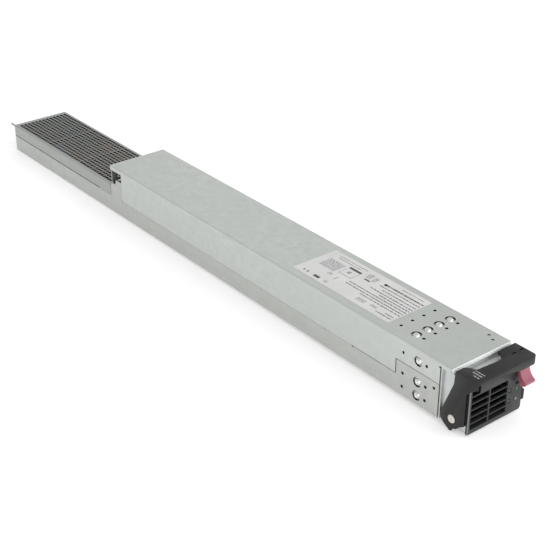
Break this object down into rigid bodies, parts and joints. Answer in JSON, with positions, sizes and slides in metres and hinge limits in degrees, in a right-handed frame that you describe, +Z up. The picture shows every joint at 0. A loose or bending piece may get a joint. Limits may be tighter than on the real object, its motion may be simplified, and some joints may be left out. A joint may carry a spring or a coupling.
{
  "type": "hot swap server power supply",
  "caption": "Long narrow hot swap power supply module with a cam ejector handle, release latch, slotted front bezel and low perforated rear section.",
  "frame": {"origin": "on the flat underside of the case, in its middle, at the front edge of the roof", "axes": "+X to the right seen from the front, +Y along the case from the handle to the rear connector, +Z up"},
  "size_m": [0.0726, 0.7681, 0.06],
  "materials": {
    "galvanised": "zinc coated sheet, faint spangle",
    "base_zinc": "zinc coated sheet, a shade duller",
    "nose_steel": "bright zinc coated sheet",
    "handle_plastic": "fine moulded grain",
    "bezel_plastic": "fine moulded grain",
    "latch_plastic": "satin, touch-point colour",
    "rivet": "off-white, satin",
    "pin_steel": "ground",
    "spring_steel": "bright rolled",
    "lens_green": "clear tinted light pipe",
    "lens_amber": "clear tinted light pipe",
    "label": "satin film, left without text",
    "board": "solder mask over woven laminate",
    "insulator": "thin film",
    "fan_plastic": "glass filled, matt",
    "screw": "zinc plated",
    "capacitor": "shrink sleeve",
    "wire": "enamelled copper",
    "heat_sink": "extruded, clear",
    "transistor": "epoxy",
    "ferrite": "pressed ferrite",
    "tape": "polyester tape over wire",
    "copper": "bright copper bar",
    "film": "moulded box",
    "relay": "moulded box",
    "fuse": "white tube with plated clips",
    "connector": "glass filled nylon",
    "contact_gold": "plated"
  },
  "bodies": {
    "case": {"base_tray": "base_zinc", "top_cover": "galvanised", "rear_cover": "galvanised", "rear_bulkhead": "galvanised", "front_bracket": "nose_steel", "front_bezel": "bezel_plastic", "handle_pivots": "rivet", "status_lens_green": "lens_green", "status_lens_amber": "lens_amber", "indicator_board": "board", "rating_label": "label", "fan_bulkhead": "galvanised", "fan_frame": "fan_plastic", "fan_shaft": "pin_steel", "fan_screws": "screw", "insulator_sheet": "insulator", "board_standoffs": "screw", "main_board": "board", "board_screws": "screw", "bulk_capacitors": "capacitor", "boost_choke": "wire", "heat_sink_left": "heat_sink", "heat_sink_right": "heat_sink", "power_transistors": "transistor", "transformer_cores": "ferrite", "transformer_windings": "tape", "output_choke": "ferrite", "output_capacitors": "capacitor", "control_board": "board", "rear_board": "board", "rear_standoffs": "screw", "bus_bars": "copper", "filter_chokes": "wire", "filter_capacitors": "film", "line_relay": "relay", "line_fuse": "fuse", "rear_connector": "connector", "connector_blades": "contact_gold", "signal_pins": "contact_gold"},
    "handle": {"handle": "handle_plastic", "latch_pin": "pin_steel", "latch_spring": "spring_steel"},
    "latch": {"release_latch": "latch_plastic"},
    "fan_rotor_front": {"fan_rotor_front": "fan_plastic"},
    "fan_rotor_rear": {"fan_rotor_rear": "fan_plastic"},
    "contacts_top": {"contact_fingers_top": "spring_steel"},
    "contacts_left": {"contact_fingers_left": "spring_steel"},
    "contacts_right": {"contact_fingers_right": "spring_steel"}
  },
  "joints": [
    {"name": "handle_swing", "type": "hinge", "parent": "case", "child": "handle", "pos_m": [0, -0.0027, 0.0082], "axis": [1, 0, 0], "range_deg": [0, 60]},
    {"name": "latch_press", "type": "hinge", "parent": "handle", "child": "latch", "pos_m": [0.0285, -0.0222, 0.0501], "axis": [1, 0, 0], "range_deg": [0, 5], "stiffness_Nm_per_rad": 0.15, "springref_deg": -2.86},
    {"name": "fan_front_spin", "type": "hinge", "parent": "case", "child": "fan_rotor_front", "pos_m": [0, 0.03, 0.026], "axis": [0, 1, 0], "continuous": true},
    {"name": "fan_rear_spin", "type": "hinge", "parent": "case", "child": "fan_rotor_rear", "pos_m": [0, 0.065, 0.026], "axis": [0, 1, 0], "continuous": true},
    {"name": "contacts_top_press", "type": "hinge", "parent": "case", "child": "contacts_top", "pos_m": [0, 0.0755, 0.05335], "axis": [1, 0, 0], "range_deg": [0, 3.5], "stiffness_Nm_per_rad": 0.8, "springref_deg": -0.57},
    {"name": "contacts_left_press", "type": "hinge", "parent": "case", "child": "contacts_left", "pos_m": [-0.03365, 0.056, 0.0252], "axis": [0, 0, 1], "range_deg": [0, 3.5], "stiffness_Nm_per_rad": 0.8, "springref_deg": -0.57},
    {"name": "contacts_right_press", "type": "hinge", "parent": "case", "child": "contacts_right", "pos_m": [0.03365, 0.056, 0.0252], "axis": [0, 0, -1], "range_deg": [0, 3.5], "stiffness_Nm_per_rad": 0.8, "springref_deg": -0.57}
  ]
}
